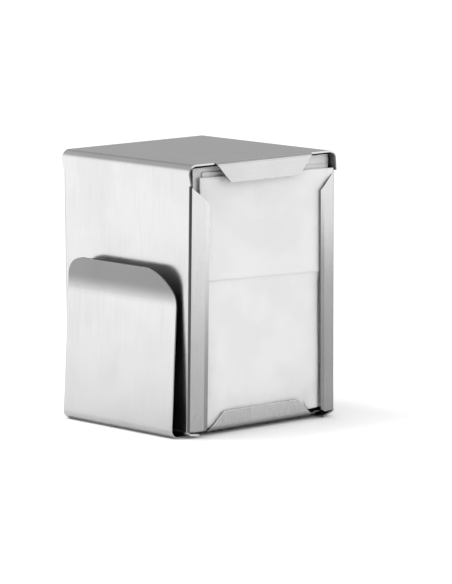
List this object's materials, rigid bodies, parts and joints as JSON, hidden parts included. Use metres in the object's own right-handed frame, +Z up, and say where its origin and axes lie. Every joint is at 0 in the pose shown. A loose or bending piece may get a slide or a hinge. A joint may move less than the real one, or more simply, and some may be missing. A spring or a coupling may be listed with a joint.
{
  "type": "napkin dispenser",
  "caption": "Double-sided counter-top napkin dispenser in bent steel sheet, with sprung pusher plates behind the napkin stacks and a card clip on one side.",
  "frame": {"origin": "on the table, under the middle of the whole dispenser with its clip", "axes": "+Z up, -Y out of the front napkin opening, +X to the right as seen from the front, so the card clip is on -X"},
  "size_m": [0.0992, 0.0922, 0.126],
  "materials": {
    "housing_steel": "satin",
    "base_steel": "satin",
    "clip_steel": "satin",
    "pusher_steel": "satin",
    "seat_steel": "satin",
    "rivet_steel": "satin",
    "spring_steel": "satin",
    "napkin_paper": "matte"
  },
  "bodies": {
    "housing": {"body_shell": "housing_steel", "base_plate": "base_steel", "side_clip": "clip_steel", "upper_spring": "spring_steel", "lower_spring": "spring_steel"},
    "front_pusher": {"front_pusher_plate": "pusher_steel", "front_upper_seat": "seat_steel", "front_lower_seat": "seat_steel", "front_upper_rivet": "rivet_steel", "front_lower_rivet": "rivet_steel", "front_napkin_stack": "napkin_paper", "front_napkin_third": "napkin_paper", "front_napkin_second": "napkin_paper", "front_napkin_first": "napkin_paper"},
    "back_pusher": {"back_pusher_plate": "pusher_steel", "back_upper_seat": "seat_steel", "back_lower_seat": "seat_steel", "back_upper_rivet": "rivet_steel", "back_lower_rivet": "rivet_steel", "back_napkin_stack": "napkin_paper", "back_napkin_third": "napkin_paper", "back_napkin_second": "napkin_paper", "back_napkin_first": "napkin_paper"}
  },
  "joints": [
    {"name": "front_push", "type": "slide", "parent": "housing", "child": "front_pusher", "axis": [0, 1, 0], "range_m": [0, 0.015], "stiffness_N_per_m": 80, "springref_m": -0.01, "deforming": ["upper_spring", "lower_spring"]},
    {"name": "back_push", "type": "slide", "parent": "housing", "child": "back_pusher", "axis": [0, -1, 0], "range_m": [0, 0.015], "stiffness_N_per_m": 80, "springref_m": -0.01, "deforming": ["upper_spring", "lower_spring"]}
  ]
}
